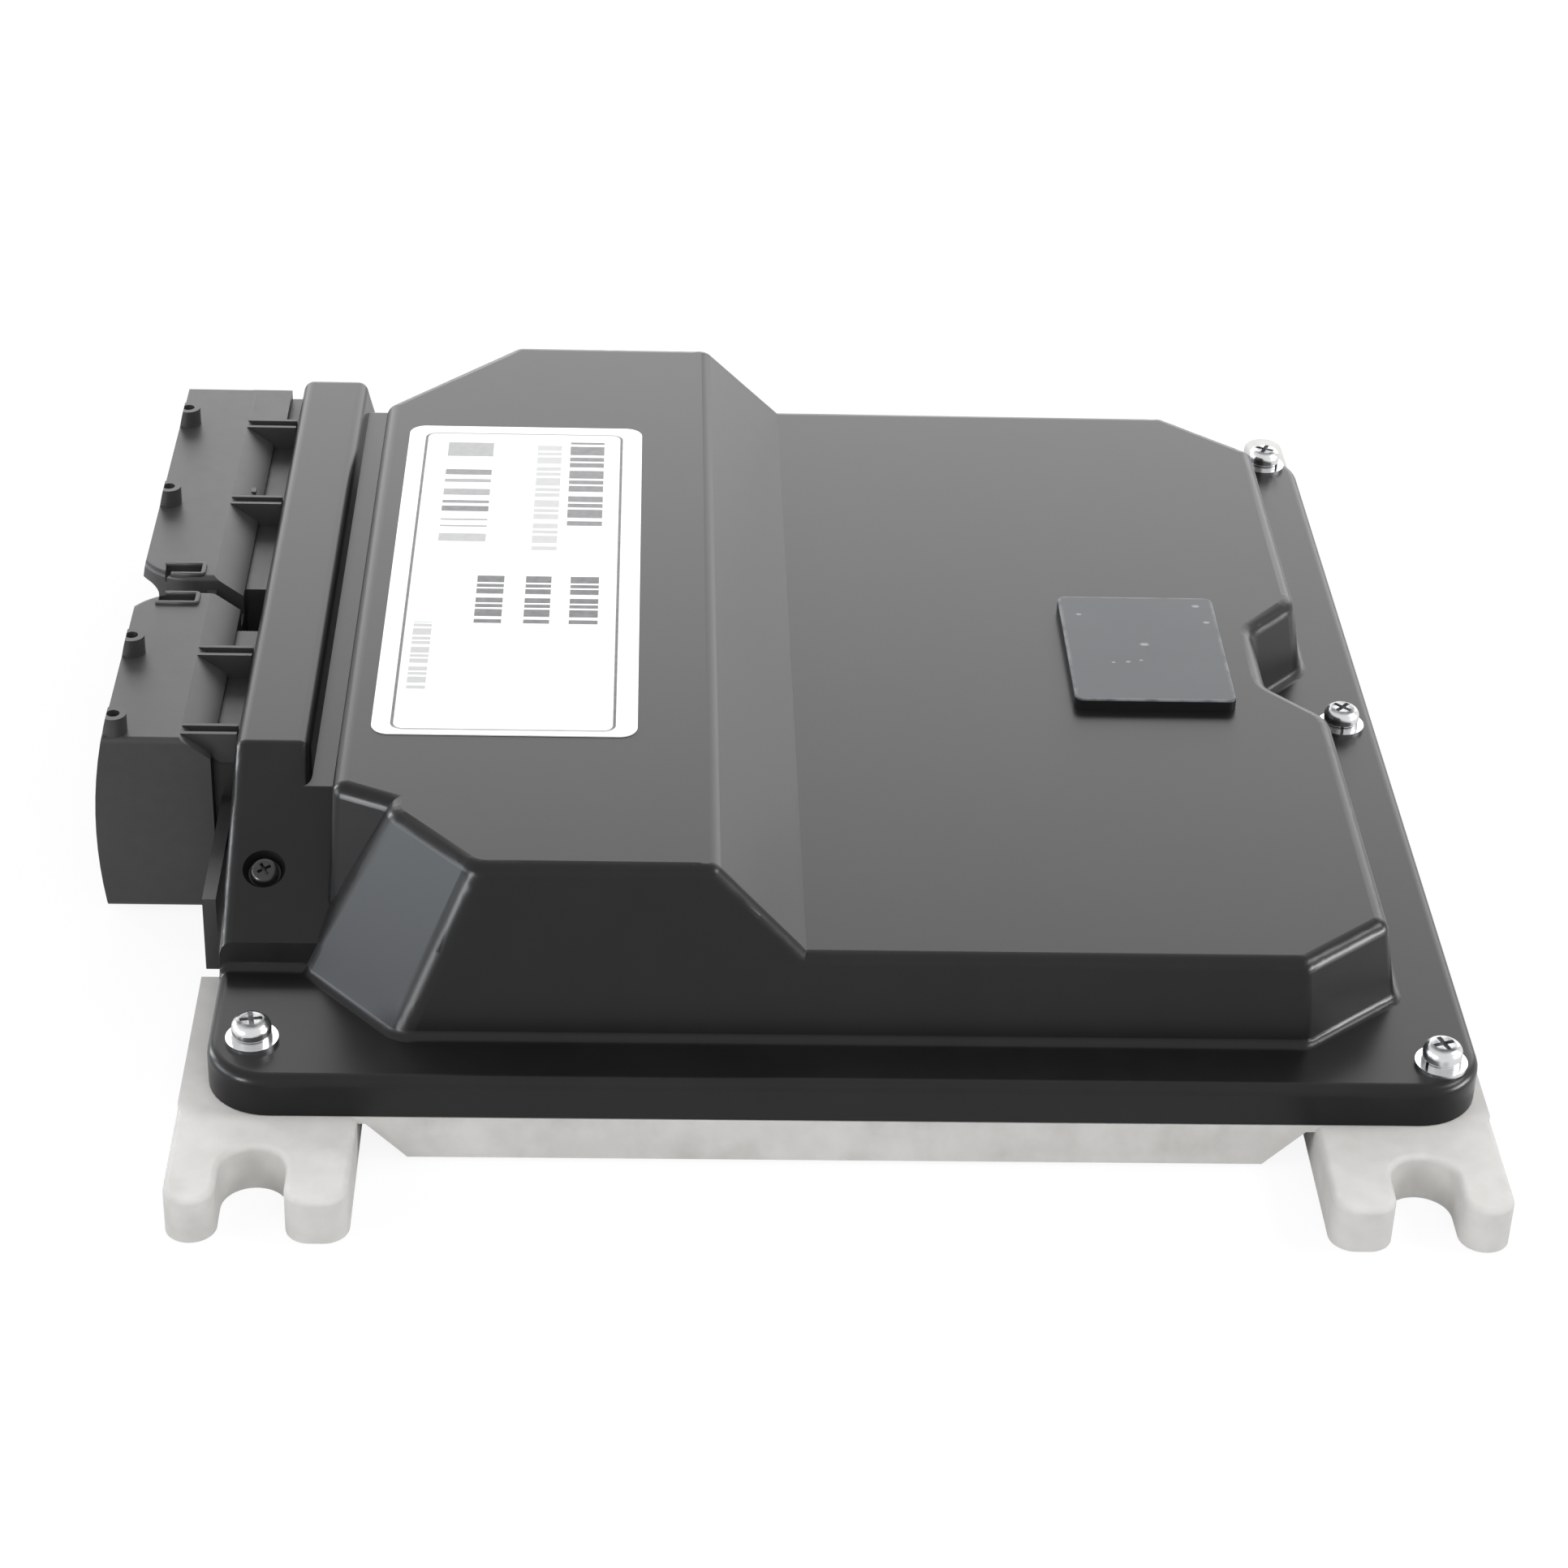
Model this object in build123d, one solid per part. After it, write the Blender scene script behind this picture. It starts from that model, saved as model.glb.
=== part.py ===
"""Engine control unit: cast base, pressed cover, side connectors and the board inside.

Millimetres, +Z up, the undersides of the four feet on Z = 0. The shapes are laid out
about the middle of the cover and moved once, at the end, so that the origin is the
middle of the whole unit's footprint.
"""
import os
from math import cos, radians, sin, tan

from build123d import *

# Cover: outline and the heights of its levels
COVER_WIDTH = 236.0
COVER_DEPTH = 258.5
COVER_CORNER = 12.0
SHEET = 1.2
LIP_FOOT = 9.7
SEAT = 18.0
LOW_TOP = 35.0
VALLEY_TOP = 39.3
HOOD_TOP = 44.0
HIGH_TOP = 52.0
DRAFT = 10.0
EDGE_ROUND = 3.0
CORNER_ROUND = 6.0
COVE = 1.8

# Cover: where the raised levels stand on the flange
WALL_BACKSET = 13.0
RIGHT_FOOT = 105.2
HIGH_LEFT = 98.5
HIGH_RIGHT = 9.2
LEFT_FACET_FOOT = 102.4
SLOPE_FOOT = 104.0
SLOPE_LEAN = 62.4
HOOD_RIGHT = -98.1
HOOD_REAR = 111.8
VALLEY_REAR = 104.0
BAY_END = 93.9
BAY_ROUND = 6.0
BAY_MOUTH_ROUND = 8.0

# Cover screws, their washers and the screw in the dimple of the slope
SCREW_X = 110.3
SCREW_Y = 121.25
LEFT_SCREW_X = -109.7
LEFT_FRONT_SCREW_Y = -117.25
SCREW_R = 2.0
HEAD_R = 3.7
HEAD_H = 2.9
SPRING_WASHER_H = 1.1
FLAT_WASHER_R = 4.9
FLAT_WASHER_H = 0.8
SLOPE_SCREW = (-110.5, -79.5)
SLOPE_SCREW_LENGTH = 6.0
SLOPE_POST_R = 4.6
DIMPLE_DEPTH = 1.8
DIMPLE_R = 4.2
DIMPLE_FLOOR_R = 3.1
SLOPE_HEAD_R = 2.7
SLOPE_SCREW_R = 1.5

# Base casting and its four slotted feet
BASE_SHIFT = -1.55
BASE_WIDTH = 242.7
RIM_GAP = 0.3
RIM_WALL = 3.0
LEDGE_FOOT = 8.0
LEDGE_TOP = 9.5
FLOOR_TOP = 11.0
PAN_FOOT = 0.5
PAN_FLOOR = 3.5
PAN_LEFT = 88.4
PAN_RIGHT = 85.0
GASKET = 0.8
FOOT_WIDTH = 33.0
FOOT_REACH = 24.8
FOOT_THICK = 9.5
SLOT_WIDTH = 12.2
SLOT_SPACING = 212.0
SLOT_CENTRE_OUT = 15.0

# Connector header: two shrouds on necks that pass through the cover's left wall
MOUTH_X = -147.0
SHROUD_ROOT = -123.5
SHROUD_FOOT = 2.0
SHROUD_TOP = 41.5
SHROUD_WALL = 2.5
GAP_ROUND = 13.0
CAVITY_FLOOR = -126.0
CAVITY_TOP = 38.0
REAR_SHROUD = (15.8, 106.8)
FRONT_SHROUD = (-50.2, 9.8)
REAR_NECK = (20.8, 102.8)
FRONT_NECK = (-46.2, 2.8)
NECK_FOOT = 13.0
NECK_TOP = 36.0
SEAL = 1.5
SLOPE_START = -129.5
SLOPE_END = -122.0
FIN_THICK = 0.9
END_BLOCK_FOOT = 91.4
END_STEP_TOP = 38.9
FIN_PAIRS = ((90.5, 87.2), (53.0, 49.9), (-13.3, -16.4), (-44.2, -47.3))
PEGS = ((-142.6, 88.2), (-142.6, 49.5), (-142.6, -16.0), (-142.4, -47.0))
PIN = 1.0
PIN_PITCH = 5.0
PIN_ROWS = 4
PIN_TIP = -142.0

# Circuit board
BOARD_FOOT = 13.5
BOARD_THICK = 1.6
BOARD_LEFT = -104.0
BOARD_RIGHT = 98.0
BOARD_HALF_DEPTH = 112.0
BOARD_SCREWS = ((-88, -97), (0, -105), (88, -102), (90, 0), (-70, 10), (88, 102), (0, 105), (-82, 98))

# Label and pad on the cover
LABEL = (-90.8, -39.5, -64.3, 67.5)
LABEL_THICK = 0.2
LABEL_ROUND = 3.5
PAD = (50.0, 83.4, -23.0, 20.6)
PAD_THICK = 2.4

HALF_W = COVER_WIDTH / 2
HALF_D = COVER_DEPTH / 2
WALL_Y = HALF_D - WALL_BACKSET
RIM_TOP = SEAT - SHEET - GASKET
RIM_X = HALF_W - SHEET - RIM_GAP
RIM_Y = HALF_D - SHEET - RIM_GAP
BOARD_TOP = BOARD_FOOT + BOARD_THICK
BASE_LEFT = BASE_SHIFT - BASE_WIDTH / 2
BASE_RIGHT = BASE_SHIFT + BASE_WIDTH / 2
SLOPE_POST_BACK = (DIMPLE_DEPTH + (SHEET + SLOPE_SCREW_LENGTH) / 2) * cos(radians(SLOPE_LEAN))
SLOPE_POST = (SLOPE_SCREW[0], SLOPE_SCREW[1] + SLOPE_POST_BACK)
SLOPE_SCREW_Z = SEAT + (SLOPE_FOOT + SLOPE_SCREW[1]) / tan(radians(SLOPE_LEAN))
UNIT_SHIFT = -(MOUTH_X + BASE_RIGHT) / 2

# Each raised level: sides as (outward angle, distance on the flange, lean), its top and its rounding
HIGH_LEVEL = (((270, WALL_Y, DRAFT), (0, HIGH_RIGHT, 45), (90, WALL_Y, DRAFT), (138.5, 139.0, 24),
               (180, LEFT_FACET_FOOT, 27), (221.5, 139.5, 24)), HIGH_TOP, EDGE_ROUND)
HIGH_EDGE = (((244, 122.5, DRAFT), (0, -60, 0), (90, WALL_Y, DRAFT), (138.5, 139.0, 24),
              (180, HIGH_LEFT, 3)), HIGH_TOP, EDGE_ROUND)
LOW_LEVEL = (((270, WALL_Y, DRAFT), (309.2, 144.5, DRAFT), (0, RIGHT_FOOT, DRAFT),
              (47.8, 142.8, DRAFT), (90, WALL_Y, DRAFT), (180, 30, 0)), LOW_TOP, EDGE_ROUND)
HOOD = (((270, SLOPE_FOOT, SLOPE_LEAN), (0, HOOD_RIGHT, 12), (90, HOOD_REAR, DRAFT), (180, HALF_W, 0)),
        HOOD_TOP, 2.4)
VALLEY = (((270, SLOPE_FOOT, SLOPE_LEAN), (0, -88, 0), (90, VALLEY_REAR, DRAFT), (180, 112, 0)),
          VALLEY_TOP, 1.0)


def block(x0, x1, y0, y1, z0, z1):
    """Box between two corners."""
    return Pos((x0 + x1) / 2, (y0 + y1) / 2, (z0 + z1) / 2) * Box(x1 - x0, y1 - y0, z1 - z0)


def post(x, y, r, z0, z1):
    """Upright cylinder."""
    return Pos(x, y, (z0 + z1) / 2) * Cylinder(r, z1 - z0)


def rounded(x0, x1, y0, y1, z0, z1, r):
    """Box with rounded upright edges."""
    return fillet(block(x0, x1, y0, y1, z0, z1).edges().filter_by(Axis.Z), r)


def union(pieces):
    """Joins a list of pieces into one."""
    whole = pieces[0]
    for piece in pieces[1:]:
        whole = whole + piece
    return whole


def group(pieces):
    """Keeps a list of separate pieces together."""
    return Compound([solid for piece in pieces for solid in piece.solids()])


# Pressed forms

def corners(sides, z, inset):
    """Corners of a leaning block at one height; each side moves in with height and with the inset."""
    lines = []
    for angle, distance, lean in sides:
        reach = distance - (z - SEAT) * tan(radians(lean)) - inset / cos(radians(lean))
        lines.append((cos(radians(angle)), sin(radians(angle)), reach))
    points = []
    for (a1, b1, d1), (a2, b2, d2) in zip(lines, lines[1:] + lines[:1]):
        det = a1 * b2 - a2 * b1
        points.append(((d1 * b2 - d2 * b1) / det, (a1 * d2 - a2 * d1) / det, z))
    return points


def leaning(sides, z0, z1, inset=0.0):
    """Block whose sides lean inward from the lower height to the upper one."""
    ends = [make_face(Polyline(*corners(sides, z, inset), close=True)) for z in (z0, z1)]
    return loft(ends, ruled=True)


def upright(edge):
    """Whether an edge climbs more than it runs."""
    return abs(edge.tangent_at(0.5).Z) > 0.5


def round_top(body, radius):
    """Rounds all edges of the topmost face."""
    return fillet(body.faces().sort_by(Axis.Z)[-1].edges(), radius)


def raised(level, inset):
    """One raised level of the cover; an inset of the sheet thickness gives its inside."""
    sides, top, radius = level
    body = leaning(sides, LIP_FOOT, top - inset, inset)
    if radius <= inset:
        return body
    return fillet([e for e in body.edges() if e.center().Z > LIP_FOOT + 0.1], radius - inset)


def high_level(inset):
    """High level; its left corners are broader than the others."""
    sides, top, radius = HIGH_LEVEL
    body = leaning(sides, LIP_FOOT, top - inset, inset)
    left = [e for e in body.edges() if upright(e) and e.center().X < -60]
    body = fillet(left, CORNER_ROUND - inset)
    right = [e for e in body.edges() if upright(e) and e.center().X > -40]
    return round_top(fillet(right, radius - inset), radius - inset)


def low_level(inset):
    """Low level, cut by the bay for the middle screw before its top edge is rounded."""
    sides, top, radius = LOW_LEVEL
    body = leaning(sides, LIP_FOOT, top - inset, inset) - screw_recess(inset)
    mouth = [e for e in body.edges() if upright(e) and e.center().X > BAY_END and abs(e.center().Y) < 40]
    body = fillet(mouth, BAY_MOUTH_ROUND - inset)
    facets = [e for e in body.edges() if upright(e) and e.center().X > 40 and abs(e.center().Y) > 60]
    return round_top(fillet(facets, radius - inset), radius - inset)


def screw_recess(inset):
    """Bay pressed into the right wall so that the middle screw can be reached."""
    sides = ((0, RIGHT_FOOT + 30, -DRAFT), (138, -63.0, -DRAFT), (180, -BAY_END, -DRAFT),
             (222, -63.0, -DRAFT))
    return bay(sides, inset, BAY_ROUND)


def slope_recess(inset):
    """Bay in the foot of the slope, behind the left screw."""
    sides = ((270, 140, 0), (0, -80, 0), (90, -94.6, -DRAFT), (168, 109.5, -DRAFT))
    return bay(sides, inset, EDGE_ROUND)


def bay(sides, inset, radius):
    """Leaning cutter for a bay; its upright edges are rounded."""
    body = leaning(sides, SEAT - 10, HIGH_TOP, -inset)
    edges = [e for e in body.edges() if upright(e) and abs(e.center().X) < 125]
    return fillet(edges, radius + inset)


def cover_form(inset):
    """Everything that stands up from the flange, as a solid; used for the outside and the inside."""
    left = raised(HOOD, inset) + raised(VALLEY, inset) - slope_recess(inset)
    return union([left, raised(HIGH_EDGE, inset), high_level(inset), low_level(inset)])


def on_slope(shape):
    """Places a shape made about the Z axis at the slope's screw, square to the slope."""
    return Pos(*SLOPE_SCREW, SLOPE_SCREW_Z) * Rot(90 - SLOPE_LEAN, 0, 0) * shape


def top_cover():
    """Pressed cover: raised form, flange and lip, cut for the connector necks and screws."""
    plate = rounded(-HALF_W, HALF_W, -HALF_D, HALF_D, LIP_FOOT, SEAT, COVER_CORNER)
    plate = fillet(plate.faces().sort_by(Axis.Z)[-1].edges(), 2.0)
    cover = plate + cover_form(0)
    cover = fillet(wall_feet(cover), COVE)
    hollow = rounded(-HALF_W + SHEET, HALF_W - SHEET, -HALF_D + SHEET, HALF_D - SHEET,
                     LIP_FOOT - 1, SEAT - SHEET, COVER_CORNER - SHEET)
    dimple_cup = on_slope(post(0, 0, DIMPLE_R + 0.2, -DIMPLE_DEPTH - SHEET, -SHEET / 2))
    cover = cover - (hollow + cover_form(SHEET)) + dimple_cup
    cutters = [neck_hole(*REAR_NECK), neck_hole(*FRONT_NECK)]
    cutters += [post(x, y, SCREW_R + 0.3, LIP_FOOT, SEAT + 5) for x, y in cover_screw_places()]
    cutters.append(on_slope(Pos(0, 0, 1 - DIMPLE_DEPTH) * Cone(DIMPLE_FLOOR_R, DIMPLE_R, 2.0)))
    cutters.append(on_slope(post(0, 0, SLOPE_SCREW_R + 0.3, -DIMPLE_DEPTH - SHEET - 1, 1)))
    for cutter in cutters:
        cover = cover - cutter
    return cover


def wall_feet(body):
    """Edges where the raised walls meet the flange."""
    return [e for e in body.edges() if all(abs((e @ t).Z - SEAT) < 0.02 for t in (0, 0.5, 1))
            and abs(e.center().X) < HALF_W - 2.5 and abs(e.center().Y) < HALF_D - 3]


def neck_hole(y0, y1):
    """Opening in the left wall for one neck and its seal, open at the bottom."""
    return block(-HALF_W - 1, -HALF_W + 8, y0 - SEAL, y1 + SEAL, LIP_FOOT - 1, NECK_TOP + SEAL)


def cover_screw_places():
    """The five cover screws: three on the right, one in each left corner."""
    return [(SCREW_X, -SCREW_Y), (SCREW_X, 0), (SCREW_X, SCREW_Y),
            (LEFT_SCREW_X, LEFT_FRONT_SCREW_Y), (LEFT_SCREW_X, SCREW_Y)]


# Base casting

def rim_outline(inset, z0, z1):
    """Outline of the tray inside the cover's lip, drawn in by an inset."""
    radius = COVER_CORNER - SHEET - RIM_GAP - inset
    return rounded(-RIM_X + inset, RIM_X - inset, -RIM_Y + inset, RIM_Y - inset, z0, z1, radius)


def pan(inset, z0, z1):
    """Deep middle of the tray, with its long sides at 45 degrees."""
    sides = ((270, HALF_D, 0), (0, PAN_RIGHT + SEAT - LEDGE_FOOT, -45), (90, HALF_D, 0),
             (180, PAN_LEFT + SEAT - LEDGE_FOOT, -45))
    return leaning(sides, z0, z1, inset)


def foot(side_x, side_y):
    """One foot with its open slot; the sides are +1 or -1."""
    outer = BASE_SHIFT + side_x * BASE_WIDTH / 2
    inner = outer - side_x * FOOT_WIDTH
    x0, x1 = min(outer, inner), max(outer, inner)
    tip = side_y * (HALF_D + FOOT_REACH)
    back = side_y * (HALF_D - 22)
    body = block(x0, x1, min(tip, back), max(tip, back), 0, FOOT_THICK)
    slot_x = BASE_SHIFT + side_x * SLOT_SPACING / 2
    end = side_y * (HALF_D + SLOT_CENTRE_OUT)
    slot = post(slot_x, end, SLOT_WIDTH / 2, -1, FOOT_THICK + 1)
    slot += block(slot_x - SLOT_WIDTH / 2, slot_x + SLOT_WIDTH / 2, min(tip * 1.1, end), max(tip * 1.1, end),
                  -1, FOOT_THICK + 1)
    body = body - slot
    tips = [e for e in body.edges().filter_by(Axis.Z) if abs(abs(e.center().Y) - abs(tip)) < 0.1]
    body = fillet(tips, 4.6)
    upper = [e for e in body.faces().sort_by(Axis.Z)[-1].edges() if abs(e.center().Y) > HALF_D - 10]
    return fillet(upper, 1.2)


def base_bosses():
    """Posts for the board, the cover screws and the screw of the slope."""
    posts = [post(x, y, 4.0, LEDGE_FOOT, BOARD_FOOT) for x, y in BOARD_SCREWS]
    posts += [post(x, y, 4.0, PAN_FOOT + 1, LEDGE_TOP) & pan(0, PAN_FOOT, LEDGE_TOP) for x, y in BOARD_SCREWS]
    posts += [post(x, y, 5.4, LEDGE_FOOT, RIM_TOP) & rim_outline(0, LEDGE_FOOT, RIM_TOP)
              for x, y in cover_screw_places()]
    slope_post = post(*SLOPE_POST, SLOPE_POST_R, LEDGE_FOOT, SLOPE_SCREW_Z + SLOPE_POST_R)
    posts.append(slope_post - on_slope(block(-20, 20, -20, 20, -DIMPLE_DEPTH - SHEET, 20)))
    return posts


def base_casting():
    """Cast tray with ledge, pan, rim, posts, heat pedestal and feet."""
    ledge = rounded(BASE_LEFT, BASE_RIGHT, -HALF_D, HALF_D, LEDGE_FOOT, LEDGE_TOP, 4)
    tray = ledge + rim_outline(0, LEDGE_FOOT, RIM_TOP)
    tray = tray - rim_outline(RIM_WALL, FLOOR_TOP, RIM_TOP + 1)
    tray = tray + pan(0, PAN_FOOT, LEDGE_TOP)
    tray = tray - (pan(RIM_WALL, PAN_FLOOR, FLOOR_TOP) & rim_outline(RIM_WALL, PAN_FLOOR, FLOOR_TOP))
    tray = tray + block(62, 78, -90, 90, PAN_FOOT + 1, BOARD_FOOT - 0.6)
    for piece in base_bosses() + [foot(sx, sy) for sx in (-1, 1) for sy in (-1, 1)]:
        tray = tray + piece
    cutters = [block(BASE_LEFT - 1, -HALF_W, -85.2, 112, LEDGE_FOOT - 1, LEDGE_TOP + 1)]
    cutters += [block(-RIM_X - 8, -RIM_X + RIM_WALL, y0 - SEAL, y1 + SEAL, NECK_FOOT - SEAL, RIM_TOP + 1)
                for y0, y1 in (REAR_NECK, FRONT_NECK)]
    cutters += [block(x - 2.2, x + 2.2, -105, 105, 0, PAN_FOOT + 1.2) for x in range(-72, 72, 12)]
    cutters += [post(x, y, 1.55, BOARD_FOOT - 4.4, BOARD_FOOT + 1) for x, y in BOARD_SCREWS]
    cutters += [post(x, y, SCREW_R + 0.05, LEDGE_FOOT + 1.5, RIM_TOP + 1) for x, y in cover_screw_places()]
    cutters.append(on_slope(post(0, 0, SLOPE_SCREW_R + 0.05, -DIMPLE_DEPTH - SLOPE_SCREW_LENGTH - 0.6, 0)))
    for cutter in cutters:
        tray = tray - cutter
    return tray


def cover_gasket():
    """Flat gasket on the rim, open where the connector necks pass."""
    ring = rim_outline(0.4, RIM_TOP, RIM_TOP + GASKET) - rim_outline(RIM_WALL - 0.2, RIM_TOP - 1, SEAT)
    for x, y in cover_screw_places():
        eye = post(x, y, 5.0, RIM_TOP, RIM_TOP + GASKET)
        ring = ring + (eye & rim_outline(0.4, RIM_TOP, RIM_TOP + GASKET))
        ring = ring - post(x, y, SCREW_R + 0.3, RIM_TOP - 1, SEAT)
    ring = ring - post(*SLOPE_POST, SLOPE_POST_R + 0.2, RIM_TOP - 1, SEAT)
    ring = ring - block(-HALF_W, -90, FRONT_NECK[0] - SEAL, REAR_NECK[1] + SEAL, RIM_TOP - 1, SEAT)
    return ring


# Fasteners

def cross_recess(z_top, size, depth):
    """Cross-shaped cutter sunk into a screw head."""
    arm = block(-size / 2, size / 2, -size / 9, size / 9, z_top - depth, z_top + 1)
    return arm + Rot(0, 0, 90) * arm


def pan_screw(x, y, seat, turn):
    """Pan-head screw seated on its washers."""
    head = fillet(post(0, 0, HEAD_R, seat, seat + HEAD_H).edges().sort_by(Axis.Z)[-1], HEAD_H * 0.62)
    screw = head + post(0, 0, SCREW_R, LEDGE_FOOT + 2, seat)
    return Pos(x, y, 0) * Rot(0, 0, turn) * (screw - cross_recess(seat + HEAD_H, 4.2, 1.5))


def cover_screws():
    """The five zinc-plated screws of the cover."""
    seat = SEAT + FLAT_WASHER_H + SPRING_WASHER_H
    turns = (20, 48, 65, 10, 35)
    return group([pan_screw(x, y, seat, turn) for (x, y), turn in zip(cover_screw_places(), turns)])


def spring_washers():
    """Split lock washers under the heads."""
    z0 = SEAT + FLAT_WASHER_H
    pieces = []
    for (x, y), turn in zip(cover_screw_places(), (200, 250, 300, 160, 90)):
        ring = post(0, 0, HEAD_R + 0.1, z0, z0 + SPRING_WASHER_H) - post(0, 0, SCREW_R + 0.1, z0 - 1, z0 + 3)
        split = Rot(0, 0, 15) * block(0, 8, -0.35, 0.35, z0 - 1, z0 + 3)
        pieces.append(Pos(x, y, 0) * Rot(0, 0, turn) * (ring - split))
    return group(pieces)


def flat_washers():
    """Plain washers on the cover's flange."""
    rings = []
    for x, y in cover_screw_places():
        disc = post(x, y, FLAT_WASHER_R, SEAT, SEAT + FLAT_WASHER_H)
        rings.append(disc - post(x, y, SCREW_R + 0.2, SEAT - 1, SEAT + 2))
    return group(rings)


def slope_screw():
    """Black screw in the dimple of the slope."""
    seat = -DIMPLE_DEPTH
    head = fillet(post(0, 0, SLOPE_HEAD_R, seat, seat + 1.8).edges().sort_by(Axis.Z)[-1], 1.0)
    screw = head + post(0, 0, SLOPE_SCREW_R, seat - SLOPE_SCREW_LENGTH, seat)
    return on_slope(Rot(0, 0, 30) * (screw - cross_recess(seat + 1.8, 2.8, 1.0)))


def board_screws():
    """Screws that hold the board on its posts."""
    pieces = []
    for x, y in BOARD_SCREWS:
        screw = post(x, y, 2.8, BOARD_TOP, BOARD_TOP + 2.0) + post(x, y, 1.5, BOARD_FOOT - 4.2, BOARD_TOP)
        pieces.append(screw - Pos(x, y, 0) * cross_recess(BOARD_TOP + 2.0, 3.2, 1.2))
    return group(pieces)


# Connector header

def shroud(y0, y1, gap_side):
    """One connector shroud; the corners beside the gap are rounded in plan."""
    body = block(MOUTH_X, SHROUD_ROOT, y0, y1, SHROUD_FOOT, SHROUD_TOP)
    gap_y = y1 if gap_side > 0 else y0
    gap_edges = [e for e in body.edges().filter_by(Axis.Z)
                 if e.center().X < MOUTH_X + 1 and abs(e.center().Y - gap_y) < 0.1]
    body = fillet(gap_edges, GAP_ROUND)
    long_edges = [e for e in body.edges().filter_by(Axis.X)]
    body = fillet(long_edges, 1.2)
    wall = SHROUD_WALL
    cavity = block(MOUTH_X - 5, CAVITY_FLOOR, y0 + wall, y1 - wall, SHROUD_FOOT + wall, CAVITY_TOP)
    cavity = fillet(cavity.edges().filter_by(Axis.X), 2.0)
    return body - cavity


def neck(y0, y1):
    """Neck that carries a shroud through the cover's wall."""
    return block(SHROUD_ROOT - 2.5, -RIM_X + RIM_WALL + 6, y0, y1, NECK_FOOT, NECK_TOP)


def shroud_slope():
    """Wedge that takes the shrouds' tops down towards the cover."""
    drop = SHROUD_TOP - NECK_TOP
    profile = Polyline((SLOPE_START, 0, SHROUD_TOP), (SLOPE_END, 0, SHROUD_TOP - drop),
                       (-HALF_W, 0, SHROUD_TOP - drop), (-HALF_W, 0, SHROUD_TOP + 5),
                       (SLOPE_START, 0, SHROUD_TOP + 5), close=True)
    return extrude(make_face(profile), amount=200, both=True, dir=(0, 1, 0))


def fin(y):
    """Thin gusset that keeps the shroud's full height up to the cover."""
    profile = Polyline((SLOPE_START - 0.5, y, SHROUD_TOP - 0.2), (SLOPE_START, y, SHROUD_TOP),
                       (-HALF_W - 0.4, y, SHROUD_TOP), (-HALF_W - 0.4, y, NECK_TOP - 1),
                       (SLOPE_END, y, NECK_TOP - 1), close=True)
    return extrude(make_face(profile), amount=FIN_THICK / 2, both=True, dir=(0, 1, 0))


def peg(x, y):
    """Hollow round peg beside the mouth."""
    outer = post(x, y, 2.6, SHROUD_TOP - 0.5, SHROUD_TOP + 4.0)
    return outer - post(x, y, 1.3, SHROUD_TOP + 1, SHROUD_TOP + 5)


def mouth_trim():
    """Everything beyond the gently curved mouth face."""
    radius, sag = 110.0, 2.0
    middle = (SHROUD_FOOT + SHROUD_TOP) / 2 - 3
    keep = Pos(MOUTH_X + radius, 0, middle) * Rot(90, 0, 0) * Cylinder(radius, 300)
    return block(MOUTH_X - 1, MOUTH_X + 2 * sag, -120, 120, -20, 70) - keep


def connector_header():
    """One moulding: two shrouds, their necks, outer flange, inner plate, fins and pegs."""
    front, rear = FRONT_SHROUD, REAR_SHROUD
    body = union([shroud(*rear, -1), shroud(*front, 1), neck(*REAR_NECK), neck(*FRONT_NECK),
                  block(SLOPE_START - 1.5, SLOPE_START + 0.5, front[1] - 1, rear[0] + 1, 8, SHROUD_TOP - 3),
                  block(SLOPE_START, SHROUD_ROOT, front[1] - 1, rear[0] + 1, 8, 33),
                  block(-HALF_W - 4.2, -HALF_W - 1.6, -83, 108, LEDGE_TOP + 0.3, 26),
                  block(-RIM_X + RIM_WALL + 0.3, -RIM_X + RIM_WALL + 3.3, FRONT_NECK[0] - 4,
                        REAR_NECK[1] + 2, FLOOR_TOP + 0.3, HOOD_TOP - 4)])
    body = body - shroud_slope()
    additions = [fin(y) for pair in FIN_PAIRS for y in pair] + [peg(x, y) for x, y in PEGS]
    end_top = SHROUD_TOP - 0.4
    additions += [block(SLOPE_START - 0.5, CAVITY_FLOOR + 1, END_BLOCK_FOOT, rear[1], CAVITY_TOP + 0.5, end_top),
                  block(CAVITY_FLOOR, SHROUD_ROOT + 2.6, END_BLOCK_FOOT, rear[1], 30, end_top),
                  block(SHROUD_ROOT, -HALF_W - 0.4, END_BLOCK_FOOT, rear[1], 30, END_STEP_TOP)]
    key_y = rear[0] + 45
    additions += [block(MOUTH_X + 5, CAVITY_FLOOR + 1, key_y - 1, key_y + 1, SHROUD_FOOT + 1, CAVITY_TOP + 1)]
    body = union([body] + additions)
    body = body - mouth_trim()
    pockets = [block(-140, -132, rear[0] + 1.3, rear[0] + 5, SHROUD_TOP - 2, SHROUD_TOP + 1),
               block(-140, -132, front[1] - 4.8, front[1] - 1.8, SHROUD_TOP - 2, SHROUD_TOP + 1)]
    for cutter in pockets + [pin_bore(p) for p in signal_places()] + [blade_bore(p) for p in blade_places()]:
        body = body - cutter
    return body


def header_seals():
    """Rubber sleeves between the necks and the wall of the housing."""
    sleeves = []
    for y0, y1 in (REAR_NECK, FRONT_NECK):
        outer = block(-HALF_W, -RIM_X + RIM_WALL, y0 - SEAL, y1 + SEAL, NECK_FOOT - SEAL, NECK_TOP + SEAL)
        sleeves.append(outer - block(-HALF_W - 1, -RIM_X + 9, y0, y1, NECK_FOOT, NECK_TOP))
    return group(sleeves)


def row_height(row):
    """Height of a row of pins."""
    return NECK_FOOT + 3.5 + row * PIN_PITCH


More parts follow.
